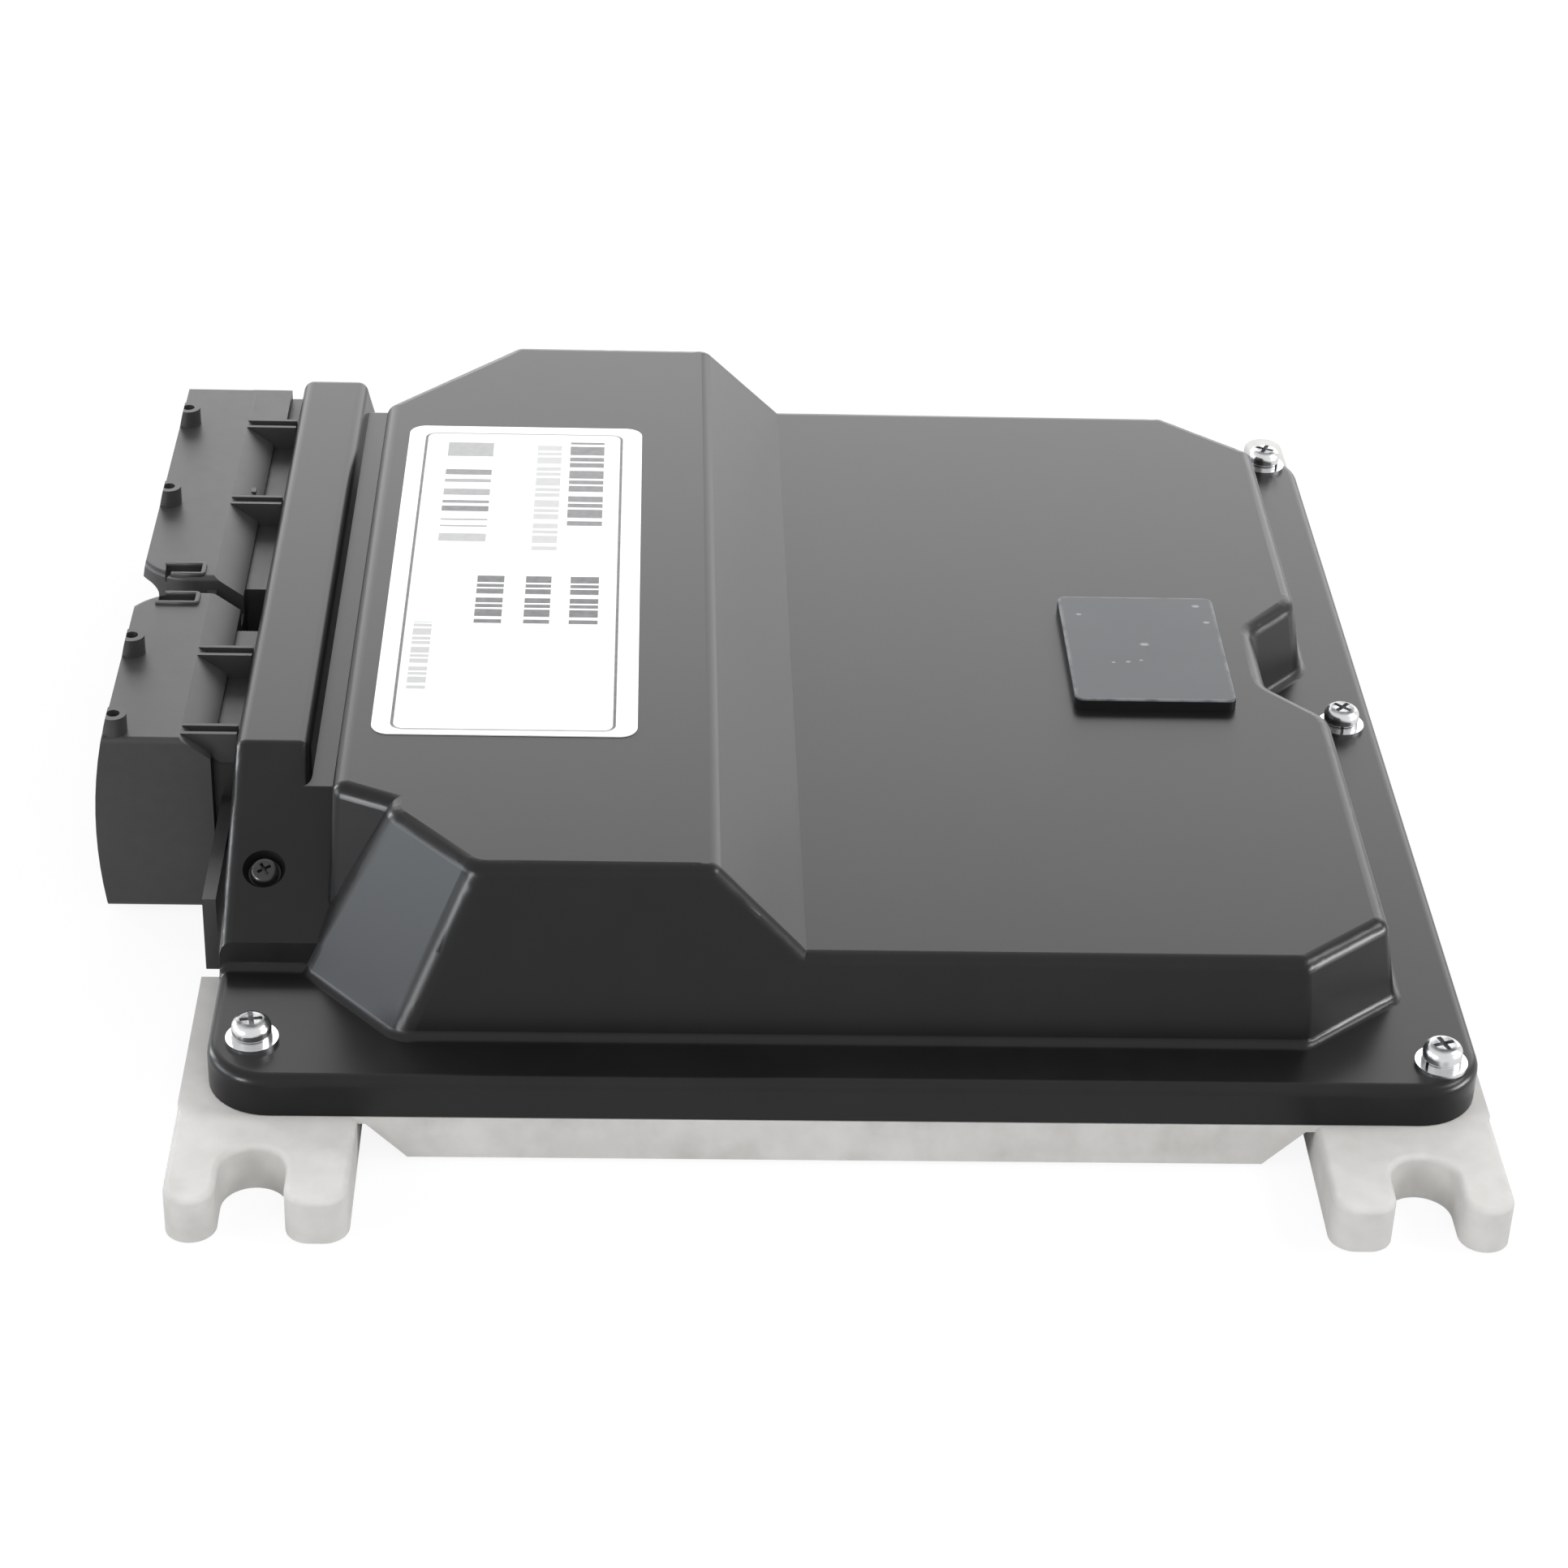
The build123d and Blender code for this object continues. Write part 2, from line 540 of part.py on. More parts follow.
def signal_places():
    """Column and row of each signal pin, as (y, row)."""
    middle = (REAR_NECK[0] + REAR_NECK[1]) / 2
    rear = [middle + (i - 7) * PIN_PITCH for i in range(15) if i != 7]
    front = [FRONT_NECK[0] + 5 + i * PIN_PITCH for i in range(6)]
    return [(y, row) for y in front + rear for row in range(PIN_ROWS)]


def blade_places():
    """Middle of each power blade along Y."""
    return [FRONT_NECK[1] - 4 - 6.0 * i for i in range(2)]


def pin_bore(place):
    """Square bore through the header for one pin."""
    y, row = place
    z = row_height(row)
    return block(CAVITY_FLOOR - 1, -100, y - PIN / 2, y + PIN / 2, z - PIN / 2, z + PIN / 2)


def blade_bore(y):
    """Bore through the header for one blade."""
    return block(CAVITY_FLOOR - 1, -100, y - 0.6, y + 0.6, 18, 26)


def bend_x(row):
    """Where a row of pins turns down to the board."""
    return BOARD_LEFT + 3.5 + row * 3.5


def signal_pin(place):
    """Bent pin from a socket to the board."""
    y, row = place
    z, x, h = row_height(row), bend_x(row), PIN / 2
    return (block(PIN_TIP, x + h, y - h, y + h, z - h, z + h)
            + block(x - h, x + h, y - h, y + h, BOARD_FOOT - 0.8, z + h))


def power_blade(y):
    """Broad bent blade of the supply contacts."""
    x = BOARD_LEFT + 12
    blade = block(PIN_TIP, x, y - 0.6, y + 0.6, 18, 26)
    return blade + block(x - 3, x, y - 0.6, y + 0.6, BOARD_FOOT - 0.8, 26)


def signal_pins():
    """All signal pins of both connectors."""
    return group([signal_pin(place) for place in signal_places()])


def power_blades():
    """Supply contacts of the front connector."""
    return group([power_blade(y) for y in blade_places()])


# Circuit board and what is on it

def circuit_board():
    """Board with holes for screws and contacts."""
    board = rounded(BOARD_LEFT, BOARD_RIGHT, -BOARD_HALF_DEPTH, BOARD_HALF_DEPTH, BOARD_FOOT, BOARD_TOP, 3)
    cutters = [post(x, y, 1.8, BOARD_FOOT - 1, BOARD_TOP + 1) for x, y in BOARD_SCREWS]
    for y, row in signal_places():
        x, h = bend_x(row), PIN / 2
        cutters.append(block(x - h, x + h, y - h, y + h, BOARD_FOOT - 1, BOARD_TOP + 1))
    x = BOARD_LEFT + 12
    cutters += [block(x - 3, x, y - 0.6, y + 0.6, BOARD_FOOT - 1, BOARD_TOP + 1) for y in blade_places()]
    for cutter in cutters:
        board = board - cutter
    return board


def chip(x, y, width, depth, height, leads, both_ways):
    """Chip body with rows of leads along two or four sides."""
    body = block(x - width / 2, x + width / 2, y - depth / 2, y + depth / 2,
                 BOARD_TOP + 0.2, BOARD_TOP + height)
    body = chamfer(body.faces().sort_by(Axis.Z)[-1].edges(), 0.4)
    pieces = [body]
    reach = 1.2
    for i in range(leads):
        t = (i - (leads - 1) / 2) * (width - 3) / (leads - 1)
        for side in (-1, 1):
            edge = y + side * depth / 2
            y0, y1 = sorted((edge - side * 0.5, edge + side * reach))
            pieces.append(block(x + t - 0.25, x + t + 0.25, y0, y1, BOARD_TOP, BOARD_TOP + 0.5))
            if both_ways:
                edge = x + side * width / 2
                x0, x1 = sorted((edge - side * 0.5, edge + side * reach))
                pieces.append(block(x0, x1, y + t - 0.25, y + t + 0.25, BOARD_TOP, BOARD_TOP + 0.5))
    return union(pieces)


def main_processor():
    """Large four-sided chip."""
    return chip(-20, -20, 28, 28, 3.4, 13, True)


def memory_chips():
    """Two memory chips beside the processor."""
    return group([chip(-20, 22, 18, 10, 1.4, 9, False), chip(-20, 44, 18, 10, 1.4, 9, False)])


def driver_chips():
    """Output driver chips in a row."""
    return group([chip(28, y, 16, 9, 2.6, 7, False) for y in (-75, -45, -15, 15, 45, 75)])


def power_transistors():
    """Switching transistors over the heat pedestal."""
    pieces = []
    for i in range(8):
        y = -77 + i * 22
        tab = block(64, 78, y - 4.5, y + 4.5, BOARD_TOP, BOARD_TOP + 0.6)
        body = block(64, 74, y - 5, y + 5, BOARD_TOP + 0.6, BOARD_TOP + 4.4)
        leads = [block(59, 64.5, y + s - 0.5, y + s + 0.5, BOARD_TOP, BOARD_TOP + 0.6) for s in (-3, 3)]
        pieces.append(union([tab, body] + leads))
    return group(pieces)


def filter_capacitors():
    """Upright electrolytic capacitors under the high level of the cover."""
    pieces = []
    for x, y in ((-70, -88), (-55, -88), (-40, -88), (-70, 88), (-52, 88)):
        pieces.append(fillet(post(x, y, 6.3, BOARD_TOP, BOARD_TOP + 18).edges().sort_by(Axis.Z)[-1], 0.8))
    return group(pieces)


def power_inductors():
    """Wound chokes beside the supply input."""
    pieces = []
    for x, y in ((-68, -60), (-68, -38)):
        core = post(x, y, 7.5, BOARD_TOP, BOARD_TOP + 1.6) + post(x, y, 4.5, BOARD_TOP, BOARD_TOP + 9)
        pieces.append(core + post(x, y, 7.5, BOARD_TOP + 7.4, BOARD_TOP + 9))
    return group(pieces)


def clock_crystal():
    """Quartz crystal in its flat can."""
    return rounded(-48, -37, 0, 4.6, BOARD_TOP, BOARD_TOP + 3.6, 2.2)


def shunt_resistors():
    """Flat measuring resistors in the output lines."""
    return group([block(44, 52, y - 3, y + 3, BOARD_TOP, BOARD_TOP + 1.2) for y in range(-84, 85, 28)])


def ceramic_capacitors():
    """Row of small filter capacitors behind the pins."""
    return group([block(-83, -80, -44 + 9 * i, -42 + 9 * i, BOARD_TOP, BOARD_TOP + 1.6) for i in range(16)])


def thermal_pad():
    """Soft pad between the heat pedestal and the board."""
    return block(63, 77, -88, 88, BOARD_FOOT - 0.6, BOARD_FOOT)


# Label and pad

def label_sticker():
    """Rounded label on the high level."""
    x0, x1, y0, y1 = LABEL
    return rounded(x0, x1, y0, y1, HIGH_TOP, HIGH_TOP + LABEL_THICK, LABEL_ROUND)


def cover_pad():
    """Soft square pad stuck on the low level."""
    x0, x1, y0, y1 = PAD
    pad = rounded(x0, x1, y0, y1, LOW_TOP, LOW_TOP + PAD_THICK, 2)
    return fillet(pad.faces().sort_by(Axis.Z)[-1].edges(), 0.4)


NODES = (base_casting, top_cover, cover_gasket, cover_screws, spring_washers, flat_washers, slope_screw,
         connector_header, header_seals, signal_pins, power_blades, circuit_board, board_screws,
         main_processor, memory_chips, driver_chips, power_transistors, filter_capacitors, power_inductors,
         clock_crystal, shunt_resistors, ceramic_capacitors, thermal_pad, label_sticker, cover_pad)


def main():
    """Builds each node and writes it in the unit's frame."""
    os.makedirs("parts", exist_ok=True)
    for node in NODES:
        export_step(Pos(UNIT_SHIFT, 0, 0) * node(), f"parts/{node.__name__}.step")


main()
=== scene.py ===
"""Looks of an engine control unit: finishes, printed label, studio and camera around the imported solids."""
import logging
import math
from dataclasses import dataclass, fields
from enum import Enum
from functools import cached_property, reduce

import bpy
import numpy as np
from mathutils import Matrix


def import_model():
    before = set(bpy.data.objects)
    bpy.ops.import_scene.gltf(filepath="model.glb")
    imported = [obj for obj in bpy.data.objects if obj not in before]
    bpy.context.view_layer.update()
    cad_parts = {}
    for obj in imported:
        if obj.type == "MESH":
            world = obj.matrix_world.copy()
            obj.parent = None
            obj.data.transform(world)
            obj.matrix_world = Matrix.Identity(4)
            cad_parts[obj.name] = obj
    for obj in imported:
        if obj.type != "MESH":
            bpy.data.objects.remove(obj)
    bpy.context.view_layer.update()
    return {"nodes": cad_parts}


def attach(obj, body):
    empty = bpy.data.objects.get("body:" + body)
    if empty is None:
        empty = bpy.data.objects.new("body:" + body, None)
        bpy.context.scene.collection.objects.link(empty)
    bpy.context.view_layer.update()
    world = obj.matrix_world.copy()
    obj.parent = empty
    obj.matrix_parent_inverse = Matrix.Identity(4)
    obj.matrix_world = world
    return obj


LOG = logging.getLogger("scene")

Colour = tuple[float, float, float]
Point = tuple[float, float, float]
Spot = tuple[float, float]
Span = tuple[float, float]

# Metres in a millimetre
MM = 0.001
# Place of the cover's middle along X in the frame, in millimetres
COVER_MIDDLE = 13.6
# Soft noise lies mostly between these two, which are spread over 0 to 1
NOISE_SPAN = (0.3, 0.7)
WHITE = (1.0, 1.0, 1.0)


def metres_x(x: float) -> float:
    """Place along X in metres of one in millimetres from the middle of the cover."""
    return (x + COVER_MIDDLE) * MM


# Shader maths


class Value:
    """A number inside a shader that takes part in plain Python arithmetic."""

    def __init__(self, graph: "Graph", socket: bpy.types.NodeSocket) -> None:
        """Keeps the nodes that the number belongs to, and its socket."""
        self.graph = graph
        self.socket = socket

    def maths(self, operation: str, *others: "Value | float") -> "Value":
        """Result of one operation on this number and the others."""
        return self.graph.maths(operation, self, *others)

    def __add__(self, other: "Value | float") -> "Value":
        """Sum."""
        return self.maths("ADD", other)

    def __radd__(self, other: float) -> "Value":
        """Sum with a plain number on the left."""
        return self.graph.maths("ADD", other, self)

    def __sub__(self, other: "Value | float") -> "Value":
        """Difference."""
        return self.maths("SUBTRACT", other)

    def __rsub__(self, other: float) -> "Value":
        """Difference from a plain number on the left."""
        return self.graph.maths("SUBTRACT", other, self)

    def __mul__(self, other: "Value | float") -> "Value":
        """Product."""
        return self.maths("MULTIPLY", other)

    def __rmul__(self, other: float) -> "Value":
        """Product with a plain number on the left."""
        return self.graph.maths("MULTIPLY", other, self)

    def __truediv__(self, other: "Value | float") -> "Value":
        """Quotient."""
        return self.maths("DIVIDE", other)

    def __rtruediv__(self, other: float) -> "Value":
        """Quotient of a plain number on the left."""
        return self.graph.maths("DIVIDE", other, self)

    def __abs__(self) -> "Value":
        """Size without sign."""
        return self.maths("ABSOLUTE")

    def root(self) -> "Value":
        """Square root."""
        return self.maths("SQRT")

    def least(self, other: "Value | float") -> "Value":
        """Smaller of the two."""
        return self.maths("MINIMUM", other)

    def most(self, other: "Value | float") -> "Value":
        """Larger of the two."""
        return self.maths("MAXIMUM", other)

    def within(self, low: float, high: float, soft: float) -> "Value":
        """1 between two limits and 0 outside, with edges as soft as the third number."""
        return self.step(low - soft, low + soft) - self.step(high - soft, high + soft)

    def step(self, low: float, high: float) -> "Value":
        """Goes smoothly from 0 at the low end to 1 at the high end.

        Args:
            low: where it leaves 0.
            high: where it reaches 1.

        Returns:
            The step.
        """
        node = self.graph.node("ShaderNodeMapRange", {"interpolation_type": "SMOOTHSTEP"},
                               {"Value": self, "From Min": low, "From Max": high})
        return Value(self.graph, node.outputs[0])


class Graph:
    """Node tree of one material or of the surroundings."""

    def __init__(self, owner: bpy.types.Material | bpy.types.World) -> None:
        """Opens the owner's node tree; a material keeps its surface shader.

        Args:
            owner: the material or the world.
        """
        owner.use_nodes = True
        self.owner = owner
        self.tree = owner.node_tree
        self.shader = self.tree.nodes.get("Principled BSDF")

    @cached_property
    def coords(self) -> bpy.types.NodeSocket:
        """Place on the object, in metres."""
        return self.node("ShaderNodeTexCoord").outputs["Object"]

    def node(self, kind: str, settings: dict[str, object] | None = None,
             inputs: dict[str | int, object] | None = None) -> bpy.types.Node:
        """Adds a node.

        Args:
            kind: the node's type.
            settings: its properties.
            inputs: its sockets by name or number; a Value or socket is linked.

        Returns:
            The node.
        """
        node = self.tree.nodes.new(kind)
        for key, value in (settings or {}).items():
            setattr(node, key, value)
        for key, value in (inputs or {}).items():
            self.feed(node.inputs[key], value)
        return node

    def feed(self, socket: bpy.types.NodeSocket, value: object) -> None:
        """Links a value to a socket, or sets a plain number or colour on it.

        Args:
            socket: the input.
            value: a Value, a socket, a number or a colour.
        """
        if isinstance(value, Value):
            value = value.socket
        if isinstance(value, bpy.types.NodeSocket):
            self.tree.links.new(value, socket)
        elif isinstance(value, tuple) and len(value) == 3 and len(socket.default_value) == 4:
            socket.default_value = (*value, 1.0)
        else:
            socket.default_value = value

    def maths(self, operation: str, *operands: Value | float) -> Value:
        """Adds a Math node.

        Args:
            operation: name of the operation.
            operands: the numbers that it works on.

        Returns:
            The result.
        """
        node = self.node("ShaderNodeMath", {"operation": operation}, dict(enumerate(operands)))
        return Value(self, node.outputs[0])

    def split(self, vector: bpy.types.NodeSocket) -> tuple[Value, Value, Value]:
        """The three parts of a vector."""
        node = self.node("ShaderNodeSeparateXYZ", None, {0: vector})
        return tuple(Value(self, output) for output in node.outputs)

    def axes(self) -> tuple[Value, Value, Value]:
        """Place on the object along X, Y and Z, in metres."""
        return self.split(self.coords)

    def facing(self) -> tuple[Value, Value, Value]:
        """Outward direction of the surface along X, Y and Z."""
        return self.split(self.node("ShaderNodeNewGeometry").outputs["Normal"])

    def away(self, x: Value, y: Value, spot: Spot, squeeze: float = 1.0) -> Value:
        """Distance seen from above, the root of the sum of both squares.

        Args:
            x: place along X in metres.
            y: place along Y in metres.
            spot: where it is measured from, in millimetres from the middle of the cover.
            squeeze: weight of the distance along X, under 1 for a spot that is wider along X.

        Returns:
            The distance in metres.
        """
        far_x = (x - metres_x(spot[0])) * squeeze
        far_y = y - spot[1] * MM
        return (far_x * far_x + far_y * far_y).root()

    def noise(self, size: float, detail: float = 3.0, stretch: Point = (1, 1, 1),
              rough: float = 0.5) -> Value:
        """Soft noise.

        Args:
            size: width of its larger blots in metres.
            detail: number of finer layers.
            stretch: factor along each axis.
            rough: weight of the finer layers.

        Returns:
            A value around one half.
        """
        place = self.node("ShaderNodeMapping", None, {"Vector": self.coords, "Scale": stretch})
        inputs = {"Vector": place.outputs[0], "Scale": 1 / size, "Detail": detail, "Roughness": rough}
        node = self.node("ShaderNodeTexNoise", {"noise_dimensions": "3D"}, inputs)
        return Value(self, node.outputs[0])

    def cells(self, size: float) -> Value:
        """Distance to the nearest of scattered points.

        Args:
            size: spacing of the points in metres.

        Returns:
            The distance in units of that spacing.
        """
        inputs = {"Vector": self.coords, "Scale": 1 / size}
        node = self.node("ShaderNodeTexVoronoi", {"feature": "F1"}, inputs)
        return Value(self, node.outputs[0])

    def blend(self, share: Value | float, first: object, second: object) -> bpy.types.NodeSocket:
        """Mixes two colours.

        Args:
            share: share of the second one.
            first: colour or socket.
            second: colour or socket.

        Returns:
            The mixed colour's socket.
        """
        node = self.node("ShaderNodeMix", {"data_type": "RGBA"}, {0: share, 6: first, 7: second})
        return node.outputs[2]

    def overlay(self, share: Value, colour: Colour) -> None:
        """Lays a colour over the one that the shader has so far.

        Args:
            share: how much of it shows, from 0 to 1.
            colour: the colour.
        """
        base = self.shader.inputs["Base Color"]
        self.feed(base, self.blend(share, base.links[0].from_socket, colour))

    def bump(self, height: Value, depth: float) -> None:
        """Raises the surface by a height from 0 to 1 times a depth in metres."""
        node = self.node("ShaderNodeBump", None, {"Height": height, "Distance": depth, "Strength": 1.0})
        self.feed(self.shader.inputs["Normal"], node.outputs[0])

    def seen(self) -> Value:
        """Tells what the camera sees from what only lights the object.

        Returns:
            1 for what is seen directly, in gloss or through glass, 0 for light on the object.
        """
        path = self.node("ShaderNodeLightPath")
        names = ("Is Camera Ray", "Is Glossy Ray", "Is Transmission Ray")
        return reduce(Value.most, [Value(self, path.outputs[name]) for name in names])

    def glow(self, kind: str, colour: Colour, strength: float = 1.0) -> bpy.types.NodeSocket:
        """Even light of one colour.

        Args:
            kind: the type of its node.
            colour: its colour.
            strength: its strength.

        Returns:
            The shader's socket.
        """
        return self.node(kind, None, {"Color": colour, "Strength": strength}).outputs[0]

    def show(self, share: Value, first: bpy.types.NodeSocket, second: bpy.types.NodeSocket) -> None:
        """Makes the mix of two shaders the one that is seen.

        Args:
            share: share of the second one.
            first: the first shader.
            second: the second shader.
        """
        mixed = self.node("ShaderNodeMixShader", None, {0: share, 1: first, 2: second})
        kinds = {"OUTPUT_MATERIAL", "OUTPUT_WORLD"}
        target = next(node for node in self.tree.nodes if node.type in kinds)
        self.feed(target.inputs["Surface"], mixed.outputs[0])


# Finishes


@dataclass(frozen=True)
class Layer:
    """One layer of a fine relief.

    Attributes:
        share: its share of the height.
        width: width of its blots as a multiple of the finish's own.
        detail: number of finer layers in it.
        rough: weight of those.
        stretch: factor along each axis.
        dimpled: whether it has round dimples instead of soft noise.
    """

    share: float = 1.0
    width: float = 1.0
    detail: float = 3.0
    rough: float = 0.5
    stretch: Point = (1, 1, 1)
    dimpled: bool = False

    def height(self, graph: Graph, size: float) -> Value:
        """Height of the layer.

        Args:
            graph: the material's nodes.
            size: width of the finish's blots in metres.

        Returns:
            The height, from 0 to the layer's share.
        """
        if self.dimpled:
            return self.share * graph.cells(size * self.width)
        return self.share * graph.noise(size * self.width, self.detail, self.stretch, self.rough)


class Grain(Enum):
    """Fine relief of a finish, as the layers that make it up."""

    POWDER = (Layer(0.7, detail=2.0), Layer(0.3, width=5.0, detail=2.0))
    CAST = (Layer(0.6, detail=5.0, rough=0.7), Layer(0.4, width=8.0))
    MOULDED = (Layer(),)
    BRIGHT = (Layer(detail=2.0, stretch=(1, 1, 0.2)),)
    SOFT = (Layer(0.5, dimpled=True), Layer(0.5))


@dataclass(frozen=True)
class Finish:
    """Look of one material.

    Attributes:
        name: material name.
        colour: main colour.
        second: colour that the blots lean to.
        roughness: how matt it is.
        metallic: 1 for bare metal.
        specular: strength of the gloss on what isn't metal.
        grain: fine relief.
        size: width of that relief's blots in metres.
        depth: height of that relief in metres.
        spread: how much the roughness varies.
        cloud: width of the large blots of colour in metres.
        cloudiness: share of the large blots in the blots of colour; the rest is fine ones.
        fine: width of the fine blots of colour as a multiple of the relief's.
    """

    name: str
    colour: Colour
    second: Colour
    roughness: float
    metallic: float = 0.0
    specular: float = 0.5
    grain: Grain = Grain.MOULDED
    size: float = 0.0006
    depth: float = 0.00001
    spread: float = 0.05
    cloud: float = 0.03
    cloudiness: float = 0.6
    fine: float = 4.0

    def build(self) -> bpy.types.Material:
        """Makes the material.

        Returns:
            The material.
        """
        graph = Graph(bpy.data.materials.new(self.name))
        self.dress(graph)
        LOG.info("%s: %d nodes", self.name, len(graph.tree.nodes))
        return graph.owner

    def dress(self, graph: Graph) -> None:
        """Sets colour, gloss and relief on the shader.

        Args:
            graph: the material's nodes.
        """
        inputs = graph.shader.inputs
        large = graph.noise(self.cloud, detail=4.0)
        fine = graph.noise(self.size * self.fine)
        tint = (self.cloudiness * large + (1 - self.cloudiness) * fine).step(*NOISE_SPAN)
        graph.feed(inputs["Base Color"], graph.blend(tint, self.colour, self.second))
        graph.feed(inputs["Roughness"], 2 * self.spread * fine + (self.roughness - self.spread))
        graph.feed(inputs["Metallic"], self.metallic)
        graph.feed(inputs["Specular IOR Level"], self.specular)
        graph.bump(sum(layer.height(graph, self.size) for layer in self.grain.value), self.depth)


@dataclass(frozen=True)
class StainedCasting(Finish):
    """Light cast metal with soft darker patches, as on a casting straight from its mould; on upright faces
    they are laid on more thickly as painted shade.

    Attributes:
        stain: colour of the patches, stains that are also painted shade on upright faces.
        share: how strongly they show on an upright face.
        patch: width of a patch in metres.
        patch_edge: values of the noise at which a patch starts and is full.
        streak: width of the short streaks as a share of the patches'.
        streak_edge: values of the noise at which a streak starts and is full.
        streaked: share of the streaks in the stain.
        level_loss: how much of the patches, stain and painted shade, is missing on a level face.
        level_edge: upward parts of its direction at which a face starts to count as level and does so.
    """

    stain: Colour = (0.235, 0.215, 0.19)
    share: float = 0.34
    patch: float = 0.022
    patch_edge: Span = (0.46, 0.72)
    streak: float = 0.2
    streak_edge: Span = (0.5, 0.8)
    streaked: float = 0.25
    level_loss: float = 0.45
    level_edge: Span = (0.2, 0.9)

    def dress(self, graph: Graph) -> None:
        """Casting finish with the patches laid over its colour, thicker on upright faces as painted shade.

        Args:
            graph: the material's nodes.
        """
        super().dress(graph)
        level = abs(graph.facing()[2]).step(*self.level_edge)
        patches = graph.noise(self.patch, detail=4.0, rough=0.6).step(*self.patch_edge)
        streaks = graph.noise(self.patch * self.streak, stretch=(1, 1, 0.35)).step(*self.streak_edge)
        stained = (1 - self.streaked) * patches + self.streaked * streaks
        # Painted shade: the stain patches show more strongly on upright faces than on level ones.
        graph.overlay(self.share * stained * (1 - self.level_loss * level), self.stain)


@dataclass(frozen=True)
class ScrewZinc(Finish):
    """Bright zinc with a blotchy painted shade of a dished recess in the middle of the heads of the cover
    screws.

    Attributes:
        heads: middles of the heads in millimetres from the middle of the cover.
        dull: colour of the blotchy painted shade in the middle of a head.
        dish: radius of the middle with the painted shade in millimetres.
        edge: where the middle starts to fade and ends, as multiples of that radius.
        blot: width of a blotch in metres.
        least_share: how strongly the blotches show where they are thinnest.
        more_share: how much stronger they are where they are thickest.
        up_edge: upward parts of its direction at which a face starts to count as facing up and does so.
    """

    heads: tuple[Spot, ...] = ((110.3, -121.25), (110.3, 0.0), (110.3, 121.25), (-109.7, -117.25),
                               (-109.7, 121.25))
    dull: Colour = (0.09, 0.091, 0.094)
    dish: float = 2.9
    edge: Span = (0.8, 1.1)
    blot: float = 0.002
    least_share: float = 0.56
    more_share: float = 0.4
    up_edge: Span = (0.5, 0.9)

    def dress(self, graph: Graph) -> None:
        """Zinc finish with the blotchy painted shade laid over its colour where a head faces up.

        Args:
            graph: the material's nodes.
        """
        super().dress(graph)
        x, y, _ = graph.axes()
        nearest = reduce(Value.least, [graph.away(x, y, head) for head in self.heads])
        # Painted shade: a dished recess in the middle of each head that faces up.
        middle = 1 - nearest.step(*(edge * self.dish * MM for edge in self.edge))
        blots = self.more_share * graph.noise(self.blot).step(*NOISE_SPAN) + self.least_share
        graph.overlay(middle * blots * graph.facing()[2].step(*self.up_edge), self.dull)


@dataclass(frozen=True)
class Bar:
    """One plain printed bar on the label, in millimetres from the middle of the cover.

    Attributes:
        across: where it starts and ends along X.
        along: where it starts and ends along Y.
        ink: how dark it is, from 0 to 1.
        pitch: spacing of the dashes that it is broken into along Y, or 0 for an unbroken bar.
        soft: how soft its edges are.
        dash: where a dash starts and ends, as shares of the spacing.
        dash_soft: how soft a dash's ends are, as a share of the spacing.
        wander: how far the dashes stray from an even spacing, as a share of it.
        wander_rate: how quickly that goes to and fro, in radians for each dash.
    """

    across: Span
    along: Span
    ink: float
    pitch: float = 0.0
    soft: float = 0.12
    dash: Span = (0.22, 0.94)
    dash_soft: float = 0.06
    wander: float = 0.22
    wander_rate: float = 2.3

    def cover(self, x: Value, y: Value) -> Value:
        """Share of ink at each place.

        Args:
            x: place along X in metres.
            y: place along Y in metres.

        Returns:
            The share, from 0 to the bar's own ink.
        """
        near, far = (c * MM for c in self.along)
        mask = x.within(*map(metres_x, self.across), self.soft * MM) * y.within(near, far, self.soft * MM)
        if self.pitch:
            turns = (y - near) / (self.pitch * MM)
            uneven = turns + self.wander * (self.wander_rate * turns).maths("SINE")
            mask = mask * uneven.maths("FRACT").within(*self.dash, self.dash_soft)
        return self.ink * mask


BAR_STACK = tuple(Bar((-82.0, -72.0), along, ink) for along, ink in (
    ((52.9, 59.6), 0.68), ((44.1, 46.7), 0.84), ((40.6, 42.2), 0.72), ((34.6, 37.6), 0.72),
    ((30.9, 32.3), 0.84), ((27.2, 29.7), 0.90), ((23.1, 23.9), 0.74), ((20.2, 21.0), 0.72),
    ((13.7, 17.3), 0.62)))
DASHED_LINES = (
    Bar((-62.4, -57.0), (9.7, 59.0), 0.52, 3.3), Bar((-55.2, -47.7), (20.8, 60.4), 0.88, 3.7),
    Bar((-73.0, -67.4), (-21.3, -1.0), 0.94, 2.9), Bar((-63.0, -57.7), (-21.3, -1.0), 0.94, 2.9),
    Bar((-53.8, -47.9), (-21.3, -1.0), 0.94, 2.9), Bar((-85.0, -81.2), (-47.7, -20.5), 0.56, 2.4))


